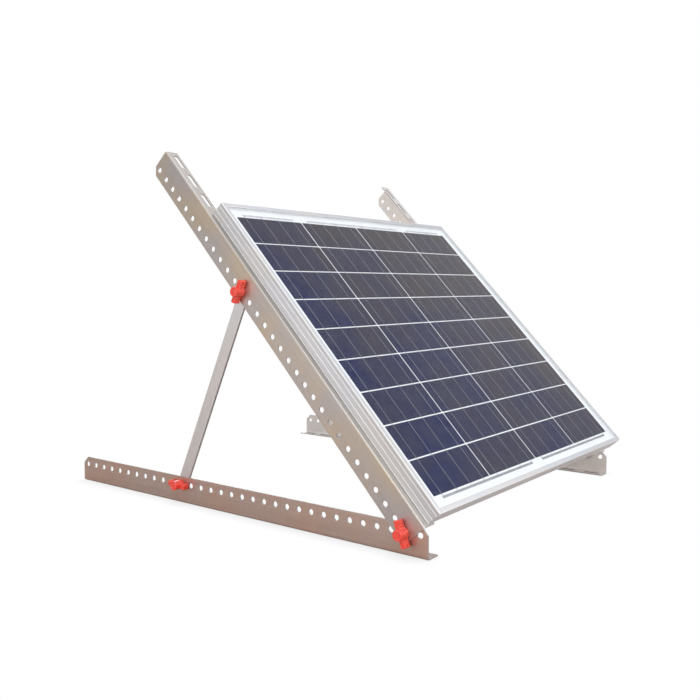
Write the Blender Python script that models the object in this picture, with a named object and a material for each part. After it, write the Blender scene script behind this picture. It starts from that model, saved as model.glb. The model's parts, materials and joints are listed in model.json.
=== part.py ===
"""Solar panel on a folding tilt stand: two slotted base angles, two slotted upper angles, two struts.

Millimetres in the constants, metres in the meshes. +X runs from the left leg to the right leg,
+Y from the front pivot to the back, +Z up. The origin is on the underside of the left foot,
below the pivot axis.
"""
import math

import bmesh
import bpy
from mathutils import Vector

MM = 0.001
GAP = 0.3                      # running clearance between pieces that touch in use
SHEET_GAP = 0.1                # clearance between the laminated sheets

# Perforated angle legs
PITCH = 22.0
HOLE_COUNT = 32
HOLE_RADIUS = 4.0
END_MARGIN = 12.0
LEG_WEB = 43.0
LEG_FLANGE = 25.5
LEG_THICK = 2.0
HOLE_TO_EDGE = 13.0
HOLE_TO_FOLD = LEG_WEB - HOLE_TO_EDGE
FOLD_RADIUS = 3.0
SLOT_LENGTH = 29.0
SLOT_WIDTH = 8.0
SLOT_FROM_WEB = 16.0
END_CHAMFER = 11.0
HOLE_SIDES = 12

# Stand layout
FOOT_INSET = 7.0               # origin to the outer face of the left base web
LEG_SPREAD = 644.0             # outer face to outer face of the base webs
TILT = math.radians(47.5)
PIVOT_HEIGHT = HOLE_TO_FOLD
STRUT_HOLE = 19                # pitches from the pivot to the strut bolt, on both legs
STRUT_REACH = 2 * STRUT_HOLE * PITCH * math.sin(TILT / 2)
STRUT_ANGLE = math.pi / 2 + TILT / 2
STRUT_WIDTH = 20.0
STRUT_THICK = 4.0

LEFT, RIGHT = -1, 1
BASE_OUTER = {LEFT: -FOOT_INSET, RIGHT: LEG_SPREAD - FOOT_INSET}
SIDE_NAME = {LEFT: "left", RIGHT: "right"}

# Depths from the outer face of the base web, positive towards the middle of the stand
UPPER_OUTER = -LEG_THICK - GAP
STRUT_OUTER = LEG_THICK + GAP
STRUT_INNER = STRUT_OUTER + STRUT_THICK

# Fasteners
BOLT_RADIUS = 3.0
BOLT_HEAD = 10.0 / math.sqrt(3)
BOLT_HEAD_HEIGHT = 4.5
KNOB_SIDES = 24
KNOB_HUB = 7.5
KNOB_LENGTH = 18.0
KNOB_WING = 18.4
KNOB_WING_LENGTH = 12.0
KNOB_BORE = 3.4
KNOB_BORE_DEPTH = 13.0
SPACER_RADIUS = 7.0
PIVOT_WING_TURN = math.radians(70)
LOWER_WING_TURN = math.radians(5)
UPPER_WING_TURN = math.radians(68)

# Panel
PANEL_WIDTH = 670.5
PANEL_LENGTH = 562.0
PANEL_LEFT = 1.0
PANEL_BOTTOM = -9.0
PANEL_DEPTH = 24.0
PANEL_BASE = HOLE_TO_FOLD + 0.2
PANEL_RIGHT = PANEL_LEFT + PANEL_WIDTH
PANEL_TOP = PANEL_BOTTOM + PANEL_LENGTH

FRAME_LIP = 8.0
FRAME_FOOT = 25.0
FRAME_WALL = 1.2
FRAME_GROOVE = 0.4
FRAME_FOOT_THICK = 1.5
FRAME_SHELF = 17.0
FRAME_SHELF_DEPTH = 7.5
FRAME_SHELF_THICK = 1.2
FRAME_LIP_THICK = 1.3
FRAME_RIBS = (8.7, 17.0)
FRAME_RIB_HALF = 0.4
MITRE_GAP = 0.1

SEAL_INSET = 1.8
SEAL_THICK = 0.5
GLASS_INSET = 2.6
BACKSHEET_THICK = 0.35
ENCAPSULANT_THICK = 0.3
CELL_THICK = 0.2
GLASS_THICK = 2.5
BACKSHEET_LEVEL = PANEL_BASE + FRAME_SHELF + FRAME_SHELF_THICK + 0.2
REAR_LEVEL = BACKSHEET_LEVEL + BACKSHEET_THICK + SHEET_GAP
CELL_LEVEL = REAR_LEVEL + ENCAPSULANT_THICK + SHEET_GAP
FRONT_LEVEL = CELL_LEVEL + CELL_THICK + SHEET_GAP
GLASS_LEVEL = FRONT_LEVEL + ENCAPSULANT_THICK + SHEET_GAP

# Cells
COLUMNS = 4
ROWS = 9
CELL_WIDTH = 156.0
CELL_HEIGHT = 54.8
COLUMN_PITCH = 158.5
ROW_PITCH = 57.0
TOP_MARGIN = 26.0
BUSBARS = 4
RIBBON_WIDTH = 1.5
RIBBON_TAB = 3.6
BUS_RIBBON_WIDTH = 4.0
CELLS_LEFT = PANEL_LEFT + (PANEL_WIDTH - (COLUMNS - 1) * COLUMN_PITCH - CELL_WIDTH) / 2
CELLS_TOP = PANEL_TOP - TOP_MARGIN
CELLS_BOTTOM = CELLS_TOP - (ROWS - 1) * ROW_PITCH - CELL_HEIGHT

# Junction box and leads
BOX_WIDTH = 110.0
BOX_HEIGHT = 65.0
BOX_DEPTH = 13.0
BOX_WALL = 2.0
BOX_CENTRE_X = PANEL_LEFT + PANEL_WIDTH / 2
BOX_CENTRE_S = 495.0
BOX_BACK = BACKSHEET_LEVEL - 0.2
LID_THICK = 2.5
CABLE_RADIUS = 2.6
CABLE_SIDES = 8
CABLE_SPREAD = 30.0
CONNECTOR_RADIUS = 6.5
CONNECTOR_LENGTH = 55.0

# Panel bolts
PANEL_BOLT_RADIUS = 2.0
PANEL_BOLT_HEAD = 7.0 / math.sqrt(3)
PANEL_BOLT_HEAD_HEIGHT = 2.8
PANEL_INSERT_RADIUS = 3.0
PANEL_INSERT_HEIGHT = 4.5
PANEL_BOLT_HEIGHTS = (536.0, 9.0)


def clear_scene():
    for item in list(bpy.data.objects):
        bpy.data.objects.remove(item, do_unlink=True)


def material(name, colour, metallic, roughness, alpha=1.0):
    made = bpy.data.materials.new(name)
    made.use_nodes = True
    shader = made.node_tree.nodes["Principled BSDF"]
    shader.inputs["Base Color"].default_value = (*colour, 1.0)
    shader.inputs["Metallic"].default_value = metallic
    shader.inputs["Roughness"].default_value = roughness
    shader.inputs["Alpha"].default_value = alpha
    return made


def empty(name, location, rotation):
    holder = bpy.data.objects.new(name, None)
    holder.location = Vector(location) * MM
    holder.rotation_euler = rotation
    bpy.context.collection.objects.link(holder)
    return holder


def face_outwards(mesh):
    """Make every closed shell face outwards, since mirrored pieces come out reversed."""
    shell = bmesh.new()
    shell.from_mesh(mesh)
    bmesh.ops.recalc_face_normals(shell, faces=shell.faces)
    shell.to_mesh(mesh)
    shell.free()


def solid(name, shape, surface, location=(0, 0, 0), rotation=(0, 0, 0), parent=None):
    """One object from a shape, which is (vertices in millimetres, faces)."""
    points, faces = shape
    mesh = bpy.data.meshes.new(name)
    mesh.from_pydata([Vector(point) * MM for point in points], [], faces)
    face_outwards(mesh)
    item = bpy.data.objects.new(name, mesh)
    item.location = Vector(location) * MM
    item.rotation_euler = rotation
    item.parent = parent
    if surface:
        item.data.materials.append(surface)
    bpy.context.collection.objects.link(item)
    return item


def merged(shapes):
    """Several closed shapes in one mesh, used only for cutters."""
    points, faces = [], []
    for more_points, more_faces in shapes:
        start = len(points)
        points += more_points
        faces += [[start + index for index in face] for face in more_faces]
    return points, faces


def cut(target, shapes, location=(0, 0, 0), rotation=(0, 0, 0), parent=None):
    cutter = solid(target.name + "_cutter", merged(shapes), None, location, rotation, parent)
    cutter.hide_render = True
    cutter.display_type = "WIRE"
    difference = target.modifiers.new("holes", "BOOLEAN")
    difference.operation = "DIFFERENCE"
    difference.solver = "EXACT"
    difference.object = cutter


def lofted(loops, ring=False):
    """Faces between equal-sized loops of points; capped at both ends, or joined in a ring."""
    count = len(loops[0])
    points = [point for loop in loops for point in loop]
    faces = []
    spans = len(loops) if ring else len(loops) - 1
    for span in range(spans):
        near = span * count
        far = (span + 1) % len(loops) * count
        for index in range(count):
            after = (index + 1) % count
            faces.append([near + index, near + after, far + after, far + index])
    if not ring:
        faces.append(list(range(count - 1, -1, -1)))
        faces.append(list(range(len(points) - count, len(points))))
    return points, faces


def block(low, high):
    """A box; the two loops run anticlockwise seen from above."""
    corners = [(low[0], low[1]), (high[0], low[1]), (high[0], high[1]), (low[0], high[1])]
    return lofted([[(x, y, z) for x, y in corners] for z in (low[2], high[2])])


def plate(left, right, bottom, top, level, thick):
    return block((left, bottom, level), (right, top, level + thick))


def turned(rings, sides, ring=False):
    """A body about the local X axis from (position, radius or list of radii) pairs."""
    loops = []
    for position, radii in rings:
        loop = []
        for index in range(sides):
            angle = 2 * math.pi * index / sides
            radius = radii[index] if isinstance(radii, list) else radii
            loop.append((position, radius * math.cos(angle), radius * math.sin(angle)))
        loops.append(loop)
    return lofted(loops, ring)


def rod_x(centre, radius, low, high, sides=HOLE_SIDES):
    points, faces = turned([(low, radius), (high, radius)], sides)
    return [(x, y + centre[0], z + centre[1]) for x, y, z in points], faces


def rod_z(centre, radius, low, high, sides=HOLE_SIDES):
    loop = []
    for index in range(sides):
        angle = 2 * math.pi * (index + 0.5) / sides
        loop.append((centre[0] + radius * math.cos(angle), centre[1] + radius * math.sin(angle)))
    return lofted([[(x, y, z) for x, y in loop] for z in (low, high)])


def stadium(centre, length, width, sides=8):
    """Outline of a slot along the second axis, as (first, second) pairs."""
    radius = width / 2
    reach = length / 2 - radius
    outline = []
    for end, start in ((1, 0.0), (-1, math.pi)):
        for step in range(sides // 2 + 1):
            angle = start + math.pi * step / (sides // 2)
            outline.append((centre[0] + radius * math.cos(angle),
                            centre[1] + end * reach + radius * math.sin(angle)))
    return outline


def hexagon(corner_radius):
    """Twelve radii, alternately a corner and the middle of a flat."""
    flat = corner_radius * math.cos(math.pi / 6)
    return [flat if index % 2 else corner_radius for index in range(12)]


def wing_outline():
    """Radii, one for each of KNOB_SIDES, for a hub with two opposite rounded wings."""
    near_wing = [KNOB_WING, KNOB_WING - 1.0, KNOB_HUB + 1.1]
    quarter = near_wing + [KNOB_HUB] * (KNOB_SIDES // 4 - len(near_wing))
    half = quarter + [KNOB_HUB] + quarter[:0:-1]
    return half * 2


def angle_leg(name, side, outer, fold_sign, first_hole, surface, location, rotation, parent):
    """A perforated angle; fold_sign is -1 with the flange below the holes, +1 with it above."""
    start = first_hole - END_MARGIN
    end = first_hole + (HOLE_COUNT - 1) * PITCH + END_MARGIN
    inward = -side
    fold = HOLE_TO_FOLD
    corner = []
    for step in range(4):
        angle = math.pi / 2 * step / 3
        corner.append((FOLD_RADIUS * (1 - math.cos(angle)), fold - FOLD_RADIUS * (1 - math.sin(angle))))
    profile = [(0, -HOLE_TO_EDGE)] + corner + [
        (LEG_FLANGE, fold),
        (LEG_FLANGE, fold - LEG_THICK),
        (FOLD_RADIUS, fold - LEG_THICK),
        (LEG_THICK, fold - FOLD_RADIUS),
        (LEG_THICK, -HOLE_TO_EDGE),
    ]
    loops = []
    for along in (start, end):
        loops.append([(outer + inward * depth, along, fold_sign * height) for depth, height in profile])
    leg = solid(name, lofted(loops), surface, location, rotation, parent)

    shapes = []
    web_low, web_high = sorted((outer - inward * 5, outer + inward * 8))
    for index in range(HOLE_COUNT):
        shapes.append(rod_x((first_hole + index * PITCH, 0), HOLE_RADIUS, web_low, web_high))
    slot_x = outer + inward * SLOT_FROM_WEB
    flange_levels = sorted((fold_sign * (fold - 8), fold_sign * (fold + 5)))
    for index in range(HOLE_COUNT // 2):
        outline = stadium((slot_x, first_hole + (2 * index + 0.5) * PITCH), SLOT_LENGTH, SLOT_WIDTH)
        shapes.append(lofted([[(x, y, z) for x, y in outline] for z in flange_levels]))
    for tip, direction in ((start, 1), (end, -1)):
        triangle = [(tip - direction * 5, -HOLE_TO_EDGE - 5),
                    (tip + direction * END_CHAMFER + direction * 5, -HOLE_TO_EDGE - 5),
                    (tip - direction * 5, -HOLE_TO_EDGE + END_CHAMFER + 5)]
        shapes.append(lofted([[(x, y, fold_sign * height) for y, height in triangle]
                              for x in (web_low, web_high)]))
    cut(leg, shapes, location, rotation, parent)


def strut(side, holder, surface):
    """A flat bar from the lower bolt, at the local origin, to the upper bolt."""
    inner, outer = sorted((BASE_OUTER[side] - side * STRUT_OUTER, BASE_OUTER[side] - side * STRUT_INNER))
    outline = stadium((0, STRUT_REACH / 2), STRUT_REACH + STRUT_WIDTH, STRUT_WIDTH, 12)
    shape = lofted([[(x, y, z) for z, y in outline] for x in (inner, outer)])
    bar = solid(f"strut_{SIDE_NAME[side]}", shape, surface, parent=holder)
    holes = [rod_x((along, 0), HOLE_RADIUS, inner - 3, outer + 3) for along in (0, STRUT_REACH)]
    cut(bar, holes, parent=holder)


def depth_x(side, depth):
    """X of a point at a depth from the outer face of one base web."""
    return BASE_OUTER[side] - side * depth


def facing(side, turn=0.0):
    """Rotation that points the local X axis outwards on one side, turned about it."""
    return (turn, 0, 0) if side == RIGHT else (-turn, 0, math.pi)


def knob(name, side, depth, centre, turn, surface, parent=None):
    wings = wing_outline()
    rings = [
        (KNOB_BORE_DEPTH, KNOB_BORE),
        (0, KNOB_BORE),
        (0, wings),
        (KNOB_WING_LENGTH, wings),
        (KNOB_WING_LENGTH, KNOB_HUB),
        (KNOB_LENGTH - 0.8, KNOB_HUB),
        (KNOB_LENGTH, KNOB_HUB - 0.8),
    ]
    solid(name, turned(rings, KNOB_SIDES), surface, (depth_x(side, depth), *centre),
          facing(side, turn), parent)


def bolt(name, side, head_depth, tip_depth, centre, surface, parent=None):
    """Hexagon bolt whose head is inboard; positions run outwards from the head's seat."""
    reach = head_depth - tip_depth
    head = hexagon(BOLT_HEAD)
    rings = [(-BOLT_HEAD_HEIGHT, head), (0, head), (0, BOLT_RADIUS), (reach, BOLT_RADIUS)]
    solid(name, turned(rings, 12), surface, (depth_x(side, head_depth), *centre), facing(side), parent)


def stand(materials, upper, struts):
    alloy, steel, plastic = materials["aluminium"], materials["steel"], materials["knob"]
    for side in (LEFT, RIGHT):
        word = SIDE_NAME[side]
        angle_leg(f"base_leg_{word}", side, BASE_OUTER[side], -1, -PITCH, alloy,
                  (0, 0, PIVOT_HEIGHT), (0, 0, 0), None)
        angle_leg(f"upper_leg_{word}", side, depth_x(side, UPPER_OUTER), 1, 0, alloy,
                  (0, 0, 0), (0, 0, 0), upper)
        strut(side, struts[side], alloy)

        knob_seat = UPPER_OUTER - GAP
        knob_tip = knob_seat - KNOB_BORE_DEPTH + 1
        bolt(f"pivot_bolt_{word}", side, LEG_THICK + 0.2, knob_tip, (0, PIVOT_HEIGHT), steel)
        knob(f"pivot_knob_{word}", side, knob_seat, (0, PIVOT_HEIGHT), PIVOT_WING_TURN, plastic)

        lower = (STRUT_HOLE * PITCH, PIVOT_HEIGHT)
        bolt(f"lower_bolt_{word}", side, STRUT_INNER + 0.2, -GAP - KNOB_BORE_DEPTH + 1, lower, steel)
        knob(f"lower_knob_{word}", side, -GAP, lower, LOWER_WING_TURN, plastic)

        joint = (STRUT_HOLE * PITCH, 0)
        stud_start = STRUT_OUTER - GAP
        stud = [(0, BOLT_RADIUS), (stud_start - knob_tip, BOLT_RADIUS)]
        solid(f"upper_stud_{word}", turned(stud, 12), steel,
              (depth_x(side, stud_start), *joint), facing(side), upper)
        spacer = [(0, BOLT_RADIUS + 0.3), (LEG_THICK, BOLT_RADIUS + 0.3),
                  (LEG_THICK, SPACER_RADIUS), (0, SPACER_RADIUS)]
        solid(f"upper_spacer_{word}", turned(spacer, 16, ring=True), steel,
              (depth_x(side, LEG_THICK), *joint), facing(side), upper)
        knob(f"upper_knob_{word}", side, knob_seat, joint, UPPER_WING_TURN, plastic, upper)
        bolt(f"strut_bolt_{word}", side, STRUT_INNER + 0.2, STRUT_OUTER + 0.2,
             (STRUT_REACH, 0), steel, struts[side])


def frame_profile():
    """(inward, up) outline of the frame section, with two fine ribs on its outer face."""
    top = PANEL_DEPTH
    wall = FRAME_GROOVE + FRAME_WALL
    shelf_top = FRAME_SHELF + FRAME_SHELF_THICK
    outline = [
        (0, 0), (FRAME_FOOT, 0), (FRAME_FOOT, FRAME_FOOT_THICK), (wall, FRAME_FOOT_THICK),
        (wall, FRAME_SHELF), (FRAME_SHELF_DEPTH, FRAME_SHELF), (FRAME_SHELF_DEPTH, shelf_top),
        (wall, shelf_top), (wall, top - FRAME_LIP_THICK), (FRAME_LIP, top - FRAME_LIP_THICK),
        (FRAME_LIP, top), (0, top),
    ]
    edge = top - 0.9
    for rib in reversed(FRAME_RIBS):
        outline += [(0, edge), (FRAME_GROOVE, edge), (FRAME_GROOVE, rib + FRAME_RIB_HALF),
                    (0, rib + FRAME_RIB_HALF)]
        edge = rib - FRAME_RIB_HALF
    outline += [(0, edge), (FRAME_GROOVE, edge), (FRAME_GROOVE, 0.9), (0, 0.9)]
    return outline


def frame_member(name, origin, along, inward, length, surface, upper):
    """A mitred frame bar; its ends are set back as far as each point is set in."""
    profile = frame_profile()
    loops = []
    for end in (0, 1):
        loop = []
        for depth, height in profile:
            travel = depth + MITRE_GAP if end == 0 else length - depth - MITRE_GAP
            loop.append((origin[0] + along[0] * travel + inward[0] * depth,
                         origin[1] + along[1] * travel + inward[1] * depth,
                         PANEL_BASE + height))
        loops.append(loop)
    return solid(name, lofted(loops), surface, parent=upper)


def corner_key(name, corner, inward, surface, upper):
    near = FRAME_GROOVE + FRAME_WALL + 0.2
    far, arm = near + 2.5, 30.0
    outline = [(near, near), (arm, near), (arm, far), (far, far), (far, arm), (near, arm)]
    loops = [[(corner[0] + inward[0] * x, corner[1] + inward[1] * y, z) for x, y in outline]
             for z in (PANEL_BASE + 8.0, PANEL_BASE + 15.0)]
    solid(name, lofted(loops), surface, parent=upper)


def panel_bolt_places():
    """X, height up the slope and side of each bolt that joins a leg to the frame."""
    for side in (LEFT, RIGHT):
        for height in PANEL_BOLT_HEIGHTS:
            yield side, depth_x(side, UPPER_OUTER + SLOT_FROM_WEB), height


def frame(materials, upper):
    alloy = materials["frame"]
    left = frame_member("frame_left", (PANEL_LEFT, PANEL_BOTTOM), (0, 1), (1, 0),
                        PANEL_LENGTH, alloy, upper)
    frame_member("frame_right", (PANEL_RIGHT, PANEL_BOTTOM), (0, 1), (-1, 0), PANEL_LENGTH, alloy, upper)
    bottom = frame_member("frame_bottom", (PANEL_LEFT, PANEL_BOTTOM), (1, 0), (0, 1),
                          PANEL_WIDTH, alloy, upper)
    top = frame_member("frame_top", (PANEL_LEFT, PANEL_TOP), (1, 0), (0, -1), PANEL_WIDTH, alloy, upper)

    drills = {left: [], top: [], bottom: []}
    for side, x, height in panel_bolt_places():
        far_bar = top if height == PANEL_BOLT_HEIGHTS[0] else bottom
        bar = left if side == LEFT else far_bar
        drills[bar].append(rod_z((x, height), PANEL_BOLT_RADIUS + 0.5,
                                 PANEL_BASE - 3, PANEL_BASE + FRAME_FOOT_THICK + 3))
    for bar, shapes in drills.items():
        cut(bar, shapes, parent=upper)

    number = 0
    for x, inward_x in ((PANEL_LEFT, 1), (PANEL_RIGHT, -1)):
        for s, inward_s in ((PANEL_BOTTOM, 1), (PANEL_TOP, -1)):
            number += 1
            corner_key(f"corner_key_{number}", (x, s), (inward_x, inward_s), materials["casting"], upper)


def panel_bolts(steel, upper):
    seat = HOLE_TO_FOLD - LEG_THICK - 0.2
    insert_level = PANEL_BASE + FRAME_FOOT_THICK + 0.2
    upright = (0, -math.pi / 2, 0)
    for number, (side, x, height) in enumerate(panel_bolt_places(), start=1):
        head = hexagon(PANEL_BOLT_HEAD)
        reach = insert_level + PANEL_INSERT_HEIGHT + 0.3 - seat
        rings = [(-PANEL_BOLT_HEAD_HEIGHT, head), (0, head), (0, PANEL_BOLT_RADIUS),
                 (reach, PANEL_BOLT_RADIUS)]
        solid(f"panel_bolt_{number}", turned(rings, 12), steel, (x, height, seat), upright, upper)
        bore = PANEL_BOLT_RADIUS + 0.2
        insert = [(0, bore), (PANEL_INSERT_HEIGHT, bore),
                  (PANEL_INSERT_HEIGHT, PANEL_INSERT_RADIUS), (0, PANEL_INSERT_RADIUS)]
        solid(f"panel_insert_{number}", turned(insert, 12, ring=True), steel,
              (x, height, insert_level), upright, upper)


def cell_string(number, surface, upper):
    """Nine cells joined by their four ribbons; the gaps between the ribbons are cut away."""
    left = CELLS_LEFT + number * COLUMN_PITCH
    bottom, top = CELLS_BOTTOM - RIBBON_TAB, CELLS_TOP + RIBBON_TAB
    shape = plate(left, left + CELL_WIDTH, bottom, top, CELL_LEVEL, CELL_THICK)
    string = solid(f"cell_string_{number + 1}", shape, surface, parent=upper)
    ribbons = [left + CELL_WIDTH * (index + 0.5) / BUSBARS for index in range(BUSBARS)]
    edges = [left - 2] + [x + side * RIBBON_WIDTH / 2 for x in ribbons for side in (-1, 1)]
    edges.append(left + CELL_WIDTH + 2)
    gaps = [(bottom - 2, CELLS_BOTTOM), (CELLS_TOP, top + 2)]
    for row in range(1, ROWS):
        low = CELLS_TOP - row * ROW_PITCH
        gaps.append((low, low + ROW_PITCH - CELL_HEIGHT))
    cut(string, [plate(edges[index], edges[index + 1], low, high, CELL_LEVEL - 1, CELL_THICK + 2)
                 for low, high in gaps for index in range(0, len(edges), 2)], parent=upper)


def bus_ribbons(surface, upper):
    """Cross ribbons that join the strings in series, in the margins above and below the cells."""
    first = CELLS_LEFT + CELL_WIDTH / (2 * BUSBARS) - 2
    reach = CELL_WIDTH * (BUSBARS - 1) / BUSBARS + 4
    below = CELLS_BOTTOM - RIBBON_TAB - GAP - BUS_RIBBON_WIDTH
    above = CELLS_TOP + RIBBON_TAB + GAP
    runs = [("bus_ribbon_bottom_1", 0, 1, below), ("bus_ribbon_bottom_2", 2, 3, below),
            ("bus_ribbon_top_1", 0, 0, above), ("bus_ribbon_top_2", 1, 2, above),
            ("bus_ribbon_top_3", 3, 3, above)]
    for name, start, end, low in runs:
        left = first + start * COLUMN_PITCH
        right = first + end * COLUMN_PITCH + reach
        solid(name, plate(left, right, low, low + BUS_RIBBON_WIDTH, CELL_LEVEL, CELL_THICK),
              surface, parent=upper)


def sheet(name, level, thick, surface, upper):
    shape = plate(PANEL_LEFT + GLASS_INSET, PANEL_RIGHT - GLASS_INSET,
                  PANEL_BOTTOM + GLASS_INSET, PANEL_TOP - GLASS_INSET, level, thick)
    solid(name, shape, surface, parent=upper)


def edge_seal(surface, upper):
    loops = []
    low, high = BACKSHEET_LEVEL, GLASS_LEVEL + GLASS_THICK
    for inset, level in ((SEAL_INSET, low), (SEAL_INSET, high),
                         (SEAL_INSET + SEAL_THICK, high), (SEAL_INSET + SEAL_THICK, low)):
        left, right = PANEL_LEFT + inset, PANEL_RIGHT - inset
        bottom, top = PANEL_BOTTOM + inset, PANEL_TOP - inset
        loops.append([(left, bottom, level), (right, bottom, level),
                      (right, top, level), (left, top, level)])
    solid("edge_seal", lofted(loops, ring=True), surface, parent=upper)


def laminate(materials, upper):
    sheet("backsheet", BACKSHEET_LEVEL, BACKSHEET_THICK, materials["backsheet"], upper)
    sheet("rear_encapsulant", REAR_LEVEL, ENCAPSULANT_THICK, materials["encapsulant"], upper)
    for number in range(COLUMNS):
        cell_string(number, materials["cell"], upper)
    bus_ribbons(materials["ribbon"], upper)
    sheet("front_encapsulant", FRONT_LEVEL, ENCAPSULANT_THICK, materials["encapsulant"], upper)
    sheet("glass", GLASS_LEVEL, GLASS_THICK, materials["glass"], upper)
    edge_seal(materials["sealant"], upper)


def smooth_path(knots, steps):
    """Catmull-Rom points through the knots."""
    spine = [knots[0]] + list(knots) + [knots[-1]]
    path = []
    for index in range(1, len(spine) - 2):
        before, start, end, after = (Vector(spine[index + offset]) for offset in (-1, 0, 1, 2))
        for step in range(steps):
            t = step / steps
            path.append(0.5 * (2 * start + (end - before) * t
                               + (2 * before - 5 * start + 4 * end - after) * t ** 2
                               + (3 * start - before - 3 * end + after) * t ** 3))
    path.append(Vector(knots[-1]))
    return path


def tube(path, radius, sides):
    """A round tube along a path that never runs straight up."""
    loops = []
    for index, point in enumerate(path):
        ahead = path[min(index + 1, len(path) - 1)] - path[max(index - 1, 0)]
        across = Vector((0, 0, 1)).cross(ahead).normalized()
        over = ahead.cross(across).normalized()
        loops.append([tuple(point + radius * (math.cos(turn) * across + math.sin(turn) * over))
                      for turn in (2 * math.pi * side / sides for side in range(sides))])
    return lofted(loops)


def junction_box(materials, upper):
    """A tray glued to the backsheet, a lid under it, the diode strip inside and two leads."""
    plastic = materials["box"]
    half = (BOX_WIDTH / 2, BOX_HEIGHT / 2)

    def ring(inset, level):
        x, s = half[0] - inset, half[1] - inset
        return [(BOX_CENTRE_X - x, BOX_CENTRE_S - s, level), (BOX_CENTRE_X + x, BOX_CENTRE_S - s, level),
                (BOX_CENTRE_X + x, BOX_CENTRE_S + s, level), (BOX_CENTRE_X - x, BOX_CENTRE_S + s, level)]

    rim = BOX_BACK - BOX_DEPTH
    tray = [ring(0, BOX_BACK), ring(0, rim), ring(BOX_WALL, rim), ring(BOX_WALL, BOX_BACK - BOX_WALL)]
    solid("junction_box", lofted(tray), plastic, parent=upper)
    lid_top = rim - GAP
    lid = [ring(0, lid_top), ring(0, lid_top - LID_THICK + 1), ring(1, lid_top - LID_THICK)]
    solid("junction_lid", lofted(lid), plastic, parent=upper)
    diodes = [ring(12, BOX_BACK - BOX_WALL - 0.3), ring(12, BOX_BACK - BOX_WALL - 5)]
    solid("diode_strip", lofted(diodes), materials["ribbon"], parent=upper)

    start_s = BOX_CENTRE_S - half[1] - GAP
    level = BOX_BACK - BOX_DEPTH / 2
    for sign, word in ((-1, "negative"), (1, "positive")):
        x = BOX_CENTRE_X + sign * CABLE_SPREAD
        knots = [(x, start_s, level), (x, start_s - 25, level), (x + sign * 8, start_s - 70, level - 0.5),
                 (x + sign * 34, start_s - 120, level - 0.5), (x + sign * 44, start_s - 170, level),
                 (x + sign * 44, start_s - 205, level)]
        solid(f"cable_{word}", tube(smooth_path(knots, 5), CABLE_RADIUS, CABLE_SIDES),
              materials["cable"], parent=upper)
        rings = [(0, CABLE_RADIUS + 1), (8, CONNECTOR_RADIUS), (30, CONNECTOR_RADIUS),
                 (30, CONNECTOR_RADIUS - 1.5), (CONNECTOR_LENGTH, CONNECTOR_RADIUS - 1.5)]
        end = (x + sign * 44, start_s - 205 - GAP, level)
        solid(f"connector_{word}", turned(rings, 12), materials["box"], end,
              (0, 0, -math.pi / 2), upper)


def main():
    clear_scene()
    materials = {
        "aluminium": material("satin_aluminium", (0.62, 0.59, 0.56), 1.0, 0.42),
        "frame": material("anodised_frame", (0.72, 0.72, 0.73), 1.0, 0.35),
        "casting": material("key_casting", (0.45, 0.45, 0.46), 1.0, 0.6),
        "steel": material("zinc_steel", (0.55, 0.55, 0.56), 1.0, 0.35),
        "knob": material("red_plastic", (0.75, 0.05, 0.035), 0.0, 0.22),
        "cell": material("silicon_cell", (0.05, 0.055, 0.11), 0.0, 0.3),
        "ribbon": material("tinned_ribbon", (0.66, 0.66, 0.68), 1.0, 0.3),
        "backsheet": material("white_backsheet", (0.86, 0.87, 0.87), 0.0, 0.6),
        "encapsulant": material("clear_encapsulant", (0.9, 0.92, 0.92), 0.0, 0.2, 0.15),
        "glass": material("panel_glass", (0.85, 0.9, 0.92), 0.0, 0.06, 0.15),
        "sealant": material("edge_sealant", (0.75, 0.75, 0.74), 0.0, 0.8),
        "box": material("black_plastic", (0.02, 0.02, 0.022), 0.0, 0.5),
        "cable": material("cable_jacket", (0.015, 0.015, 0.016), 0.0, 0.6),
    }
    upper = empty("upper_frame_axis", (0, 0, PIVOT_HEIGHT), (TILT, 0, 0))
    struts = {}
    for side in (LEFT, RIGHT):
        struts[side] = empty(f"strut_axis_{SIDE_NAME[side]}", (0, STRUT_HOLE * PITCH, PIVOT_HEIGHT),
                             (STRUT_ANGLE, 0, 0))
    stand(materials, upper, struts)
    frame(materials, upper)
    panel_bolts(materials["steel"], upper)
    laminate(materials, upper)
    junction_box(materials, upper)


main()
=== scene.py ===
"""Looks for a framed solar panel on a folding tilt stand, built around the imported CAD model.

Lengths in the constants are millimetres. Two local frames are used: "level" for the base, whose
origin is on the pivot axis, and "slope" for everything that tilts, whose second axis runs up the
panel and whose third leaves its face. Both are turned into the model's metres by a matrix.
"""

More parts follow.
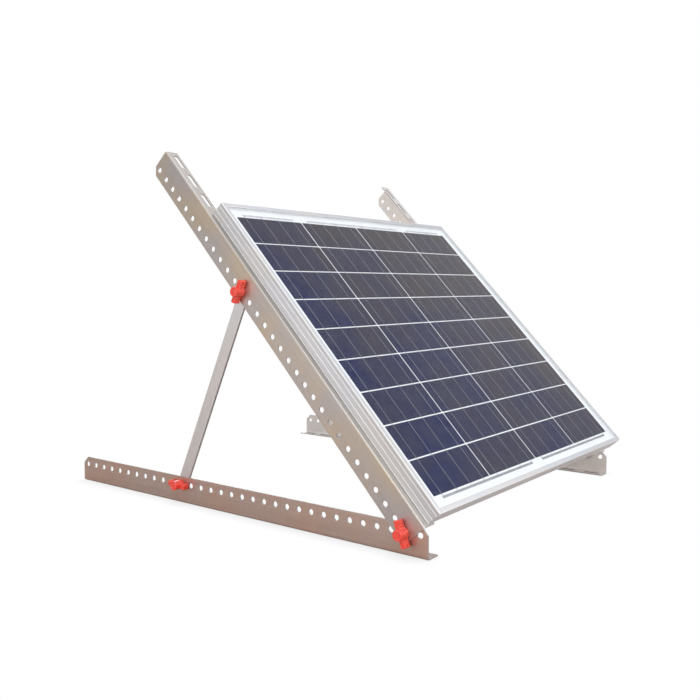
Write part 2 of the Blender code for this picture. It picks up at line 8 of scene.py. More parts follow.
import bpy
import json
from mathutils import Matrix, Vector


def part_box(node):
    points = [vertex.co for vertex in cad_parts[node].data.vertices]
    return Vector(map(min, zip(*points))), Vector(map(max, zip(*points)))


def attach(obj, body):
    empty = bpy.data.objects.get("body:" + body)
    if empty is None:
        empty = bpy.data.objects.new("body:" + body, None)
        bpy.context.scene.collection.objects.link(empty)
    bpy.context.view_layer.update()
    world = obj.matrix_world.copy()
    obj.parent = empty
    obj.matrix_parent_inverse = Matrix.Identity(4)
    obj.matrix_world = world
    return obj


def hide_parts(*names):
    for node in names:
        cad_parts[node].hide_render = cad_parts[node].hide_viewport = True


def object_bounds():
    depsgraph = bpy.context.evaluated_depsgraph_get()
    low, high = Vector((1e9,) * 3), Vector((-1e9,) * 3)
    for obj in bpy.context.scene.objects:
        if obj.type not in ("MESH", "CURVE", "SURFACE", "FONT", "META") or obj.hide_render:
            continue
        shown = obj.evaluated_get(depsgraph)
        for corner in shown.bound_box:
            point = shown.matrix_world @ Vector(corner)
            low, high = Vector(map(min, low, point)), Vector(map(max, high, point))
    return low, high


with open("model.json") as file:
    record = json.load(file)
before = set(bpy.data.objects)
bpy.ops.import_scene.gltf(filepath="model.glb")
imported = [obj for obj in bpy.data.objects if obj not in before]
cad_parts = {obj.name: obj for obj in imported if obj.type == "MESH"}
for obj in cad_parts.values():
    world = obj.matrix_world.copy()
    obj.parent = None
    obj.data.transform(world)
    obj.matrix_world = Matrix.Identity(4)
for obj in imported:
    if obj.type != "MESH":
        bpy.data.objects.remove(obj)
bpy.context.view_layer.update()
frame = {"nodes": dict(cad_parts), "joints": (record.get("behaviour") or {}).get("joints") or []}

import json
from math import atan2, cos, degrees, pi, radians, sin, sqrt, tan

import bmesh
import bpy
from mathutils import Matrix, Vector

MM = 0.001
LEFT, RIGHT = -1, 1
SIDE_NAME = {LEFT: "left", RIGHT: "right"}
PANEL_BODY = "upper_frame"  # tilts with the panel, its frame and the upper legs

# Perforated angles
HOLE_PITCH = 22.0
HOLE_COUNT = 32
HOLE_RADIUS = 4.0
HOLE_MARGIN = 12.0  # end of the leg to its first hole
HOLE_TO_EDGE = 13.0  # hole line to the free edge of the web
WEB_FLAT = 40.0
SHEET = 2.0
FOLD_RADIUS = 3.0  # outside
FOLD_STEPS = 6
FLANGE_REACH = 25.5
SLOT_LENGTH = 29.0
SLOT_WIDTH = 8.0
SLOT_FROM_WEB = 16.0
END_CHAMFER = 11.0
BLANK_CORNER = 1.5
EDGE_ROUND = 0.35
STRUT_EDGE_ROUND = 0.56
HOLE_SIDES = 28
STRUT_END_SIDES = 40
ROUND_SIDES = 48  # of hubs, bolt heads and glands

# Knobs
HUB_RADIUS = 7.5
HUB_BORE = 0.8
HUB_FOOT = ((0, 1.4), (0, 0.5), (0.6, 0))  # (up from the seat, in from the radius)
HUB_TIP = ((1.4, 0), (0.9, 0.12), (0.35, 0.55), (0, 1.3), (0, 2.1),  # (back from the end,
           (0.5, 2.6), (0.5, 3.6), (0.25, 4.2))  # in from the radius)
WING_REACH = 18.4
WING_HALF = 4.4
WING_TIP = 2.2  # length of the rounded tip
WING_SQUARE = 0.7  # 1 makes the tip an ellipse, less makes it squarer
WING_FILLET = 1.0  # wing's ribs end this far outside the hub
WING_FOOT = 0.4  # up from the hub's seat
WING_TOP = (2 / 3, 0.2)  # share of the knob's length, and how far below it the wings end
WING_ROUND = 1.1
WING_TO_HUB = 0.12  # radians between a wing's root and the hub's arc
WING_RIB = 0.9
WING_RIBS = 3
ARC_STEPS = 8

# Bolt heads: (across the flats, height); profile in shares of (the height, half the flats)
KNOB_BOLT_HEAD = (10.0, 4.5)
PANEL_BOLT_HEAD = (7.0, 2.8)
CORNER = 1 / cos(pi / 6)
HEAD_PROFILE = ((0, 0.55), (0, 0.93), (0.16, CORNER), (0.92, CORNER), (0.93, 0.97), (1, 0.97))
SHANK_SHARE = 0.3  # shank radius to the flats
SHANK_SUNK = 0.2  # its start lies this deep in the head
SHANK_POINT = (0.8, 0.7)  # its taper's length and depth
SHANK_SIDES = 24

# Panel
CELL_ROWS = 9
CELL_HEIGHT = 54.8
CELL_PITCH = 57.0
RIBBON_TAB = 3.6
RIBBONS = 4
RIBBON_WIDTH = 1.0
RIBBON_THICK = 0.06
RIBBON_CROWN = 0.015
RIBBON_BEVEL = 0.2
RIBBON_RISE = 0.08  # over the wafer's face
RIBBON_DIP = 0.1  # below it, between two wafers
RIBBON_BEND = 0.5  # ends this far onto a wafer
RIBBON_LEAD = 0.6  # the first bend starts this far before the first wafer
WAFER_CORNER = 0.6
WAFER_EDGE = 0.06
FINGER_PITCH = 1.9
FINGER_SHARE = 0.09  # of the pitch that is printed
BUS_WIDTH = 2.2  # of the cross ribbons, as far as they show
BUS_CORNER = 0.3
BUS_EDGE = 0.05
BARE_EDGE = 0.35  # the wafer stops this far inside its place in the string
COLUMN_PITCH = 158.5
SLAB_CORNER = 1.5
GLASS_EDGE = 0.3
SHEET_EDGE = 0.1
# The white ring under the frame's lip is painted light over the shade there.
WHITE_FILL_GAPS = (0.2, 0.3)  # from the laminate's edge, and short of the frame's lip
WHITE_FILL_SUNK = 0.1  # under the glass's face
WHITE_FILL_BASE = 0.05  # over the rear film

# Frame section
FRAME_LIP = 8.0
FRAME_FOOT = 25.0
FRAME_DEPTH = 24.0
FRAME_WALL = 1.6
FRAME_SHELF = 17.0
FRAME_SHELF_REACH = 7.5
FRAME_RIBS = (1.2, 8.7, 17.0)
SHELF_THICK = 1.2
LIP_THICK = 1.3
LIP_ROUND = 0.5
FOOT_THICK = 1.5
FOOT_ROUND = 0.4
HEEL_ROUND = 0.3
RIB_HALF = 0.6
RIB_STEPS = 4
GROOVE = 0.4
GROOVE_SHOULDER = 0.3  # height of the slope from a land into its groove
BEAD = 1.0  # radius of the frame's upper outer edge
BEAD_LAND = 0.5  # flat below the bead

# Junction box and its leads
BOX_CORNER = 4.0
BOX_EDGE = 0.8
BOX_FEET = (7.0, 7.0, 1.6)  # half width, length and thickness of its two feet
BOX_FOOT_SETBACK = 18.0  # from the box's side
BOX_FOOT_OVERLAP = 1.0
BOX_FOOT_SUNK = 0.9  # its middle lies this far from the backsheet
LID_EDGE = 0.5
LID_RIM = 1.6  # thickness
LID_MIDDLE = (9.0, 1.8, 0.9)  # in from the rim, thickness, and place of its middle
LID_RIBS = 5
LID_RIB = (60.0, 1.8, 1.2)  # length, width and thickness
LID_RIB_SETBACK = 18.0
CLIP = (3.2, 5.0, 1.4)  # half width, half length and thickness
CLIP_SETBACK = (4.5, 12.0)
SMALL_EDGE = 0.4  # of feet, ribs and clips
GLAND_OFFSET = {"negative": -30.0, "positive": 30.0}
GLAND_PROFILE = ((0, 4.2), (0.4, 4.6), (7.5, 4.6), (7.6, 5.4),  # (distance out, radius)
                 (8.4, 5.6), (13.5, 5.6), (15.0, 4.4), (15.0, 3.2))
GLAND_RIDGES = 12
GLAND_RIDGE_DEPTH = 0.35
GLAND_WIDEST = 5.3  # ridges are cut where the radius is over this
GLAND_SUNK = 0.5
PLUG_NUT = ((0, 3.4), (0.6, 4.2), (7.5, 5.0), (8.0, 6.0), (9.0, 6.4), (17.5, 6.4), (18.2, 5.9))
PLUG_GRIP = ((18.8, 6.1), (19.5, 6.5), (33.0, 6.5), (34.0, 5.2))
PLUG_BARREL = ((40.0, 5.0), (41.0, 5.4), (43.0, 5.4), (44.0, 4.6))
PLUG_END = ((1.0, 4.4), (0, 3.8), (0, 2.6), (3.0, 2.4))  # (back from the end, radius)
PLUG_SIDES = 40
PLUG_STEP = 1.5  # longest ring spacing
NUT_SPAN = (8.5, 18.0)
NUT_FLUTES = 10
NUT_FLUTE_DEPTH = 0.5
GRIP_SPAN = (20.0, 33.0)
GRIP_RIB_PITCH = 3.0
GRIP_RIB_DEPTH = 0.4

# Colours: a leg's web where it is warm, where it is cool, and its flange. They are lit and shaded copies of
# one alloy: the left legs' brown is a painted reflection, the right legs are painted lighter, and the
# flange's own tone is painted light.
LEG_PAINTED_LIGHT_TONES = {
    ("base", LEFT): ((0.57, 0.405, 0.335), (0.54, 0.425, 0.375), (0.58, 0.49, 0.45)),
    ("base", RIGHT): ((0.86, 0.81, 0.76), (0.82, 0.79, 0.77), (0.80, 0.77, 0.75)),
    ("upper", LEFT): ((0.56, 0.475, 0.375), (0.50, 0.46, 0.445), (0.50, 0.47, 0.44)),
    ("upper", RIGHT): ((0.92, 0.84, 0.76), (0.88, 0.83, 0.79), (0.76, 0.73, 0.70)),
}

# Studio: name, place, what it points at, diameter in metres and watts
LAMPS = (
    ("camera_side_softbox", (-1.5, -1.3, 1.1), (0.3, 0.2, 0.25), 1.1, 17),
    ("overhead_softbox", (0.4, -0.6, 2.4), (0.3, 0.2, 0.2), 3.2, 24),
    ("left_softbox", (-2.1, 1.15, 0.35), (0.3, 0.2, 0.2), 1.2, 6),
    ("front_right_softbox", (1.3, -1.0, 0.75), (0.2, 0.2, 0.25), 0.5, 3.2),
    ("rear_softbox", (1.8, 2.0, 1.6), (0.3, 0.2, 0.3), 1.6, 12),
)
ROOM_TONES = (  # from straight down (0) to straight up (1)
    (0.0, (0.44, 0.40, 0.38)),
    (0.48, (0.43, 0.40, 0.385)),
    (0.56, (0.52, 0.50, 0.495)),
    (0.73, (0.96, 0.99, 1.05)),
    (0.9, (0.80, 0.82, 0.86)),
)
ROOM_STRENGTH = 0.85
FLOOR_RADIUS = 30.0
FLOOR_GAP = 0.0004  # metres, so that the feet don't share the floor's plane
SHADOW_REACH = 0.03  # metres
SHADOW_TONE = 0.72

# Camera: direction it looks from, seen from the object, and where it stands
CAMERA_AZIMUTH = radians(-49.966)
CAMERA_ELEVATION = radians(2.558)
CAMERA_ROLL = radians(0.105)
CAMERA_PLACE = (-0.9199, -0.5634, 0.3441)
CAMERA_LENS = 43.077
CAMERA_SHIFT = (0.0950, -0.0357)

scene = bpy.context.scene
nodes = frame["nodes"]


# ---- local frames

def panel_tilt():
    """Angle of the panel above the ground, from the biggest face of its glass."""
    face = max(nodes["glass"].data.polygons, key=lambda polygon: polygon.area)
    return atan2(abs(face.normal.y), abs(face.normal.z))


def joint_place(name):
    return next(joint["pos_m"] for joint in frame["joints"] if joint["name"] == name)


pivot = joint_place("panel_tilt")
tilt = panel_tilt()
level = Matrix.Translation((0, pivot[1], pivot[2])) @ Matrix.Scale(MM, 4)
slope = level @ Matrix.Rotation(tilt, 4, "X")
frame_middle = sum(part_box("glass")[end].x for end in (0, 1)) / 2


def local_box(node, place):
    """Lowest and highest corner of a CAD node in one of the local frames, in millimetres."""
    inverse = place.inverted()
    points = [inverse @ vertex.co for vertex in nodes[node].data.vertices]
    low = Vector(min(point[axis] for point in points) for axis in range(3))
    high = Vector(max(point[axis] for point in points) for axis in range(3))
    return low, high


# ---- node helpers

def new_material(name):
    """An empty material and its node tree."""
    made = bpy.data.materials.new(name)
    made.use_nodes = True
    return made, made.node_tree


def finished(made, **inputs):
    """The material, once values or sockets are plugged into its shader's inputs by name."""
    shader = made.node_tree.nodes["Principled BSDF"]
    for key, value in inputs.items():
        put(made.node_tree, shader.inputs[key.replace("_", " ")], value)
    return made


def put(tree, socket, value):
    """Plugs a socket or a value into a socket; colours are given as three numbers."""
    if isinstance(value, bpy.types.NodeSocket):
        tree.links.new(value, socket)
    else:
        socket.default_value = (*value, 1.0) if socket.type == "RGBA" else value


def fill(tree, sockets, values):
    for socket, value in zip(sockets, values):
        put(tree, socket, value)


def add(tree, kind, settings=None, **inputs):
    """A shader node with these settings, its inputs plugged in by name."""
    node = tree.nodes.new("ShaderNode" + kind)
    for key, value in (settings or {}).items():
        setattr(node, key, value)
    for key, value in inputs.items():
        put(tree, node.inputs[key.replace("_", " ")], value)
    return node


def maths(tree, operation, *values):
    node = add(tree, "Math", {"operation": operation})
    fill(tree, node.inputs, values)
    return node.outputs[0]


def total(tree, first, *others):
    for value in others:
        first = maths(tree, "ADD", first, value)
    return first


def mixed(tree, factor, first, second, blend="MIX"):
    node = add(tree, "Mix", {"data_type": "RGBA", "blend_type": blend})
    fill(tree, (node.inputs[0], node.inputs[6], node.inputs[7]), (factor, first, second))
    return node.outputs[2]


def remap(tree, value, low, high, to_low=0.0, to_high=1.0):
    node = add(tree, "MapRange", None, From_Min=low, From_Max=high, To_Min=to_low, To_Max=to_high)
    put(tree, node.inputs[0], value)
    return node.outputs[0]


def pitches(tree, value, start, pitch):
    """How many pitches a value lies past its start."""
    return maths(tree, "DIVIDE", maths(tree, "SUBTRACT", value, start), pitch)


def scaled(colour, share):
    return tuple(channel * share for channel in colour)


def place_in(tree, place):
    """Object coordinates turned into millimetres of a local frame."""
    source = add(tree, "TexCoord").outputs["Object"]
    turn = place.to_euler().x
    moved = add(tree, "Mapping", {"vector_type": "TEXTURE"}, Vector=source,
                Location=tuple(place.translation), Rotation=(turn, 0, 0), Scale=(MM, MM, MM))
    return moved.outputs[0]


def stretched(tree, vector, scale):
    return add(tree, "Mapping", None, Vector=vector, Scale=scale).outputs[0]


def noise(tree, vector, scale, detail=3.0, roughness=0.5):
    made = add(tree, "TexNoise", None, Vector=vector, Scale=scale, Detail=detail, Roughness=roughness)
    return made.outputs["Fac"]


def facets(tree, vector, scale, channel, settings=None, **inputs):
    """A level that differs from one grain of a Voronoi pattern to the next."""
    colour = add(tree, "TexVoronoi", settings, Vector=vector, Scale=scale, **inputs).outputs["Color"]
    return add(tree, "SeparateXYZ", None, Vector=colour).outputs[channel]


def bump(tree, height, strength, distance):
    made = add(tree, "Bump", None, Height=height, Strength=strength, Distance=distance)
    return made.outputs[0]


def blended(tree, share, first, second):
    """Sends a mix of two shaders to the material's output."""
    both = add(tree, "MixShader")
    fill(tree, both.inputs, (share, first.outputs[0], second.outputs[0]))
    tree.links.new(both.outputs[0], tree.nodes["Material Output"].inputs["Surface"])


# ---- materials

def brushed_metal(name, place, grain, warm, cool, roughness, depth=0.12):
    """Mill-finished alloy: fine lines along the grain, slow drifts of tone and a few scuffs."""
    made, tree = new_material(name)
    where = place_in(tree, place)
    fine = tuple(0.012 if axis == grain else 3.2 for axis in range(3))
    broad = tuple(0.004 if axis == grain else 0.6 for axis in range(3))
    lines = noise(tree, stretched(tree, where, fine), 1.0, 4.0, 0.7)
    bands = noise(tree, stretched(tree, where, broad), 1.0, 2.0)
    drift = noise(tree, where, 0.011, 2.0, 0.45)
    mottle = noise(tree, where, 0.09, 4.0, 0.6)
    tone = mixed(tree, remap(tree, drift, 0.38, 0.62), cool, warm)
    for pattern, low, high, share, shade in ((lines, 0.3, 0.75, 0.34, (0.9, 0.88, 0.86)),
                                             (bands, 0.35, 0.7, 0.3, (0.2, 0.18, 0.17)),
                                             (mottle, 0.52, 0.72, 0.25, (0.75, 0.7, 0.66))):
        tone = mixed(tree, remap(tree, pattern, low, high, 0.0, share), tone, shade, "SOFT_LIGHT")
    rough = total(tree, remap(tree, lines, 0.2, 0.8, roughness - 0.07, roughness + 0.09),
                  remap(tree, mottle, 0.5, 0.8, 0.0, 0.04))
    return finished(made, Base_Color=tone, Metallic=1.0, Roughness=rough,
                    Normal=bump(tree, lines, depth, 0.00006))


def worn_edge_and_highlight(name, place, colour, metallic=1.0):
    """The sheared rim of a sheet or hole: brighter and a little polished. On the frame's beads and ribs its
    near-white is a painted highlight.
    """
    made, tree = new_material(name)
    where = place_in(tree, place)
    nicks = noise(tree, where, 0.8, 4.0, 0.7)
    tone = mixed(tree, remap(tree, nicks, 0.35, 0.6), scaled(colour, 0.72), colour)
    return finished(made, Base_Color=tone, Metallic=metallic,
                    Roughness=remap(tree, nicks, 0.3, 0.7, 0.42, 0.24), Normal=bump(tree, nicks, 0.3, 0.0001))


def cell_surface():
    """Polycrystalline silicon: flakes of slightly different blue, hair-fine printed fingers, and a painted
    reflection that turns it browner across and up the panel.
    """
    made, tree = new_material("silicon_cell_face")
    where = place_in(tree, slope)
    low, high = local_box("cell_string_1", slope)
    last = local_box("cell_string_4", slope)[1].x
    parts = add(tree, "SeparateXYZ", None, Vector=where)
    along, up = parts.outputs[0], parts.outputs[1]

    column = maths(tree, "FLOOR", pitches(tree, along, low.x, COLUMN_PITCH))
    row = maths(tree, "FLOOR", pitches(tree, up, low.y + RIBBON_TAB, CELL_PITCH))
    index = add(tree, "CombineXYZ", None, X=column, Y=row).outputs[0]
    each = add(tree, "TexWhiteNoise", {"noise_dimensions": "2D"}, Vector=index).outputs["Value"]
    shifted = add(tree, "VectorMath", {"operation": "MULTIPLY_ADD"})
    fill(tree, shifted.inputs, (index, (31.0, 47.0, 0.0), where))
    flake = facets(tree, shifted.outputs[0], 0.085, 0, {"distance": "MINKOWSKI"}, Exponent=1.2)
    chip = facets(tree, shifted.outputs[0], 0.22, 1)

    # The drift from blue to brown across the strings and up the panel is a painted reflection of the room;
    # the cloud and each cell's share are the wafers' own tone.
    across = remap(tree, along, low.x, last)
    height = remap(tree, up, low.y, high.y)
    cloud = noise(tree, where, 0.009, 2.0)
    tone_and_reflection_warmth = total(tree, maths(tree, "MULTIPLY", across, 0.7), remap(tree, height, 0.0, 1.0, -0.1, 0.5),
                   remap(tree, cloud, 0.3, 0.7, -0.3, 0.3), remap(tree, each, 0.0, 1.0, -0.14, 0.14))
    tone_and_reflection_warmth.node.use_clamp = True
    tone = mixed(tree, tone_and_reflection_warmth, (0.014, 0.018, 0.084), (0.074, 0.060, 0.056))
    tone = mixed(tree, remap(tree, flake, 0, 1, 0.0, 0.3), tone, (0.07, 0.075, 0.105))
    tone = mixed(tree, remap(tree, chip, 0, 1, 0.0, 0.25), tone, (0.008, 0.010, 0.026))

    finger = maths(tree, "FRACT", maths(tree, "DIVIDE", up, FINGER_PITCH))
    printed = maths(tree, "LESS_THAN", finger, FINGER_SHARE)
    tone = mixed(tree, maths(tree, "MULTIPLY", printed, 0.3), tone, (0.26, 0.27, 0.30))
    return finished(made, Base_Color=tone, Specular_IOR_Level=0.0,
                    Roughness=remap(tree, flake, 0, 1, 0.3, 0.48), Normal=bump(tree, flake, 0.12, 0.0002))


def ribbon_surface(name, tone):
    """Tinned copper: solder ripples and slightly uneven grey."""
    made, tree = new_material(name)
    where = place_in(tree, slope)
    ripple = noise(tree, where, 0.35, 3.0, 0.6)
    pool = noise(tree, where, 0.06, 2.0)
    base = mixed(tree, remap(tree, pool, 0.35, 0.65), scaled(tone, 0.72), tone)
    return finished(made, Base_Color=base, Metallic=0.7, Roughness=remap(tree, ripple, 0.3, 0.7, 0.34, 0.55),
                    Normal=bump(tree, ripple, 0.4, 0.0002))


def backsheet_surface():
    """White laminate whose rear shows the strings and ribbons faintly pressed through."""
    made, tree = new_material("white_backsheet_film")
    where = place_in(tree, slope)
    low, high = local_box("cell_string_1", slope)
    parts = add(tree, "SeparateXYZ", None, Vector=where)
    phase = maths(tree, "FRACT", pitches(tree, parts.outputs[0], low.x, (high.x - low.x) / RIBBONS))
    ridge = remap(tree, maths(tree, "ABSOLUTE", maths(tree, "SUBTRACT", phase, 0.5)), 0.0, 0.06, 1.0, 0.0)
    seam = maths(tree, "FRACT", pitches(tree, parts.outputs[1], low.y + RIBBON_TAB, CELL_PITCH))
    gap = remap(tree, seam, 0.955, 0.985)
    orange = noise(tree, where, 0.5, 3.0)
    stain = noise(tree, where, 0.012, 3.0)
    tone = mixed(tree, remap(tree, stain, 0.35, 0.7), (0.89, 0.91, 0.94), (0.85, 0.865, 0.89))
    relief = maths(tree, "SUBTRACT", maths(tree, "ADD", ridge, maths(tree, "MULTIPLY", orange, 0.25)), gap)
    return finished(made, Base_Color=tone, Roughness=remap(tree, orange, 0.3, 0.7, 0.42, 0.6),
                    Normal=bump(tree, relief, 0.35, 0.00025))


def glass_surface():
    """Low-iron cover glass: clear, a faint mirror at shallow angles and a fine rolled texture."""
    made, tree = new_material("cover_glass_clear")
    where = place_in(tree, slope)
    dimples = noise(tree, where, 0.9, 2.0)
    rolled = noise(tree, where, 0.02, 2.0)
    relief = bump(tree, maths(tree, "ADD", dimples, maths(tree, "MULTIPLY", rolled, 2.0)), 0.02, 0.0002)
    mirror = add(tree, "BsdfGlossy", None, Color=(0.97, 0.95, 0.95), Normal=relief)
    put(tree, mirror.inputs["Roughness"], remap(tree, rolled, 0.3, 0.7, 0.09, 0.16))
    clear = add(tree, "BsdfTransparent", None, Color=(0.985, 0.99, 0.988))
    grazing = add(tree, "Fresnel", None, IOR=1.22, Normal=relief).outputs[0]
    inside = add(tree, "NewGeometry").outputs["Backfacing"]
    share = maths(tree, "MULTIPLY", grazing, maths(tree, "SUBTRACT", 1.0, inside))
    tree.nodes.remove(tree.nodes["Principled BSDF"])
    blended(tree, share, clear, mirror)
    return made


def plastic(name, light, dark, roughness, grain_scale, grain, coat=0.0):
    """Moulded plastic: fine spark-eroded grain, slight flow marks and dusty patches."""
    made, tree = new_material(name)
    where = place_in(tree, level)
    grit = noise(tree, where, grain_scale, 4.0, 0.6)
    flow = noise(tree, stretched(tree, where, (0.05, 0.2, 0.2)), 1.0, 3.0)
    tone = mixed(tree, remap(tree, flow, 0.35, 0.65), dark, light)
    rough = total(tree, remap(tree, grit, 0.3, 0.7, roughness - 0.05, roughness + 0.06),
                  remap(tree, flow, 0.3, 0.7, -0.03, 0.05))
    return finished(made, Base_Color=tone, Roughness=rough, Normal=bump(tree, grit, grain, 0.00015),
                    Coat_Weight=coat, Coat_Roughness=0.08)


def speckled_metal(name, tone, roughness, spangle):
    """Plated or cast metal: cloudy tone, small crystals and rubbed spots."""
    made, tree = new_material(name)
    where = place_in(tree, level)
    crystal = facets(tree, where, spangle, 0)
    cloud = noise(tree, where, 0.25, 4.0, 0.6)
    base = mixed(tree, remap(tree, cloud, 0.3, 0.7), scaled(tone, 0.6), tone)
    base = mixed(tree, remap(tree, crystal, 0, 1, 0.0, 0.25), base, (0.8, 0.78, 0.7), "SOFT_LIGHT")
    rough = remap(tree, cloud, 0.3, 0.7, roughness - 0.08, roughness + 0.1)
    return finished(made, Base_Color=base, Metallic=1.0, Roughness=rough,
                    Normal=bump(tree, cloud, 0.25, 0.0002))


def sealant_surface():
    """Grey sealant squeezed between glass and frame."""
    made, tree = new_material("edge_sealant_bead")
    where = place_in(tree, slope)
    lumps = noise(tree, where, 0.4, 3.0)
    tone = mixed(tree, lumps, (0.74, 0.74, 0.73), (0.84, 0.84, 0.83))
    return finished(made, Base_Color=tone, Roughness=remap(tree, lumps, 0.2, 0.8, 0.6, 0.9),
                    Normal=bump(tree, lumps, 0.5, 0.0004))


# ---- mesh helpers

def reworked(mesh, change):
    """Passes an editable copy of a mesh through a function and writes it back."""
    shell = bmesh.new()
    shell.from_mesh(mesh)
    change(shell)
    shell.to_mesh(mesh)
    shell.free()


def turn_outwards(shell):
    bmesh.ops.recalc_face_normals(shell, faces=shell.faces)


def in_scene(name, data):
    """A new object with this data, linked to the scene."""
    made = bpy.data.objects.new(name, data)
    scene.collection.objects.link(made)
    return made


def shade_evenly(piece):
    piece.modifiers.new("even_shading", "WEIGHTED_NORMAL").keep_sharp = True


def show(name, mesh, surfaces, body, stands_for=(), angle=35.0):
    """Adds a mesh to the scene as a piece that rides on a body, with even shading."""
    for surface in surfaces:
        mesh.materials.append(surface)
    piece = in_scene(name, mesh)
    mesh.shade_smooth()
    mesh.set_sharp_from_angle(angle=radians(angle))
    shade_evenly(piece)
    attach(piece, body)
    if stands_for:
        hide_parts(*stands_for)


def mesh_of(shapes, place=Matrix()):
    """One mesh from closed shapes of (points, faces), put in place."""
    mesh = bpy.data.meshes.new("shape")
    points, faces = [], []
    for more_points, more_faces in shapes:
        start = len(points)
        points += [place @ Vector(point) for point in more_points]
        faces += [[start + index for index in face] for face in more_faces]
    mesh.from_pydata(points, [], faces)
    reworked(mesh, turn_outwards)
    return mesh


def lofted(loops, ring=False):
    """Faces between equal-sized loops of points, capped at both ends unless joined in a ring."""
    count = len(loops[0])
    faces = []
    spans = len(loops) if ring else len(loops) - 1
    for span in range(spans):
        near, far = span * count, (span + 1) % len(loops) * count
        for index in range(count):
            after = (index + 1) % count
            faces.append([near + index, near + after, far + after, far + index])
    if not ring:
        faces.append(list(range(count)))
        faces.append(list(range(spans * count, spans * count + count)))
    return [point for loop in loops for point in loop], faces


def turned(profile, sides, radius_at=None):
    """A body about the first axis from (position, radius) pairs; radius_at may shape each ring."""
    loops = []
    for position, radius in profile:
        loop = []
        for index in range(sides):
            angle = 2 * pi * index / sides
            reach = radius_at(angle, position, radius) if radius_at else radius
            loop.append((position, reach * cos(angle), reach * sin(angle)))
        loops.append(loop)
    return lofted(loops)


def rounded(corners, radius, steps=5):
    """An outline with every corner rounded."""
    outline = []
    count = len(corners)
    for index, corner in enumerate(corners):
        here = Vector(corner)
        back = (Vector(corners[index - 1]) - here).normalized()
        ahead = (Vector(corners[(index + 1) % count]) - here).normalized()
        half = back.angle(ahead) / 2
        setback = radius / tan(half)
        centre = here + (back + ahead).normalized() * radius / sin(half)
        start = here + back * setback - centre
        end = here + ahead * setback - centre
        for step in range(steps + 1):
            arm = start.slerp(end, step / steps)
            outline.append(tuple(centre + arm))
    return outline


def rectangle(left, right, bottom, top):
    return [(left, bottom), (right, bottom), (right, top), (left, top)]


def arc(centre, radius, start, end, steps=3):
    """Points of an arc; its two angles are in degrees."""
    points = []
    for step in range(steps + 1):
        angle = radians(start + (end - start) * step / steps)
        points.append((centre[0] + radius * cos(angle), centre[1] + radius * sin(angle)))
    return points


def circle(centre, radius):
    return arc(centre, radius, 0, 360, HOLE_SIDES)[:-1]


def stadium(centre, length, width, sides=HOLE_SIDES):
    """Outline of a slot along the first axis."""
    x, y = centre
    reach = (length - width) / 2
    return (arc((x + reach, y), width / 2, -90, 90, sides // 2)
            + arc((x - reach, y), width / 2, 90, 270, sides // 2))


def plate_mesh(outlines, thickness, edge, steps=2):
    """A flat plate centred on the ground plane, with holes and rounded edges, in millimetres."""
    curve = bpy.data.curves.new("plate", "CURVE")
    curve.dimensions = "2D"
    curve.fill_mode = "BOTH"
    curve.extrude = thickness / 2 - edge
    curve.bevel_depth = edge
    curve.bevel_resolution = steps
    curve.offset = -edge
    for outline in outlines:
        spline = curve.splines.new("POLY")
        spline.points.add(len(outline) - 1)
        for point, (x, y) in zip(spline.points, outline):
            point.co = (x, y, 0, 1)
        spline.use_cyclic_u = True
    holder = in_scene("plate", curve)
    graph = bpy.context.evaluated_depsgraph_get()
    mesh = bpy.data.meshes.new_from_object(holder.evaluated_get(graph), depsgraph=graph)
    bpy.data.objects.remove(holder)
    bpy.data.curves.remove(curve)

    def close_seams(shell):
        bmesh.ops.remove_doubles(shell, verts=shell.verts, dist=edge / 20)
        turn_outwards(shell)

    reworked(mesh, close_seams)
    mesh.materials.clear()
    return mesh


def mark_rims(mesh):
    """Gives the second material to every face that isn't part of the plate's two flat sides."""
    for polygon in mesh.polygons:
        polygon.material_index = 0 if abs(polygon.normal.z) > 0.97 else 1


def moved(mesh, shift):
    """Passes every vertex through a function, then turns the faces outwards again."""
    for vertex in mesh.vertices:
        vertex.co = shift(vertex.co)
    reworked(mesh, turn_outwards)
    return mesh


def joined(meshes):
    """Several meshes as one, keeping their material numbers."""
    shell = bmesh.new()
    for mesh in meshes:
        shell.from_mesh(mesh)
    whole = bpy.data.meshes.new("joined")
    shell.to_mesh(whole)
    shell.free()
    return whole


# ---- legs and struts

def blank_outlines(length, width):
    """The angle before it is folded: its outline, its row of holes and its row of slots."""
    outer = [(END_CHAMFER, 0), (length - END_CHAMFER, 0), (length, END_CHAMFER),
             (length, width), (0, width), (0, END_CHAMFER)]
    outlines = [rounded(outer, BLANK_CORNER)]
    slot_line = width - (FLANGE_REACH - SLOT_FROM_WEB)
    for index in range(HOLE_COUNT):
        outlines.append(circle((HOLE_MARGIN + index * HOLE_PITCH, HOLE_TO_EDGE), HOLE_RADIUS))
    for index in range(HOLE_COUNT // 2):
        centre = (HOLE_MARGIN + (2 * index + 0.5) * HOLE_PITCH, slot_line)
        outlines.append(stadium(centre, SLOT_LENGTH, SLOT_WIDTH))
    return outlines


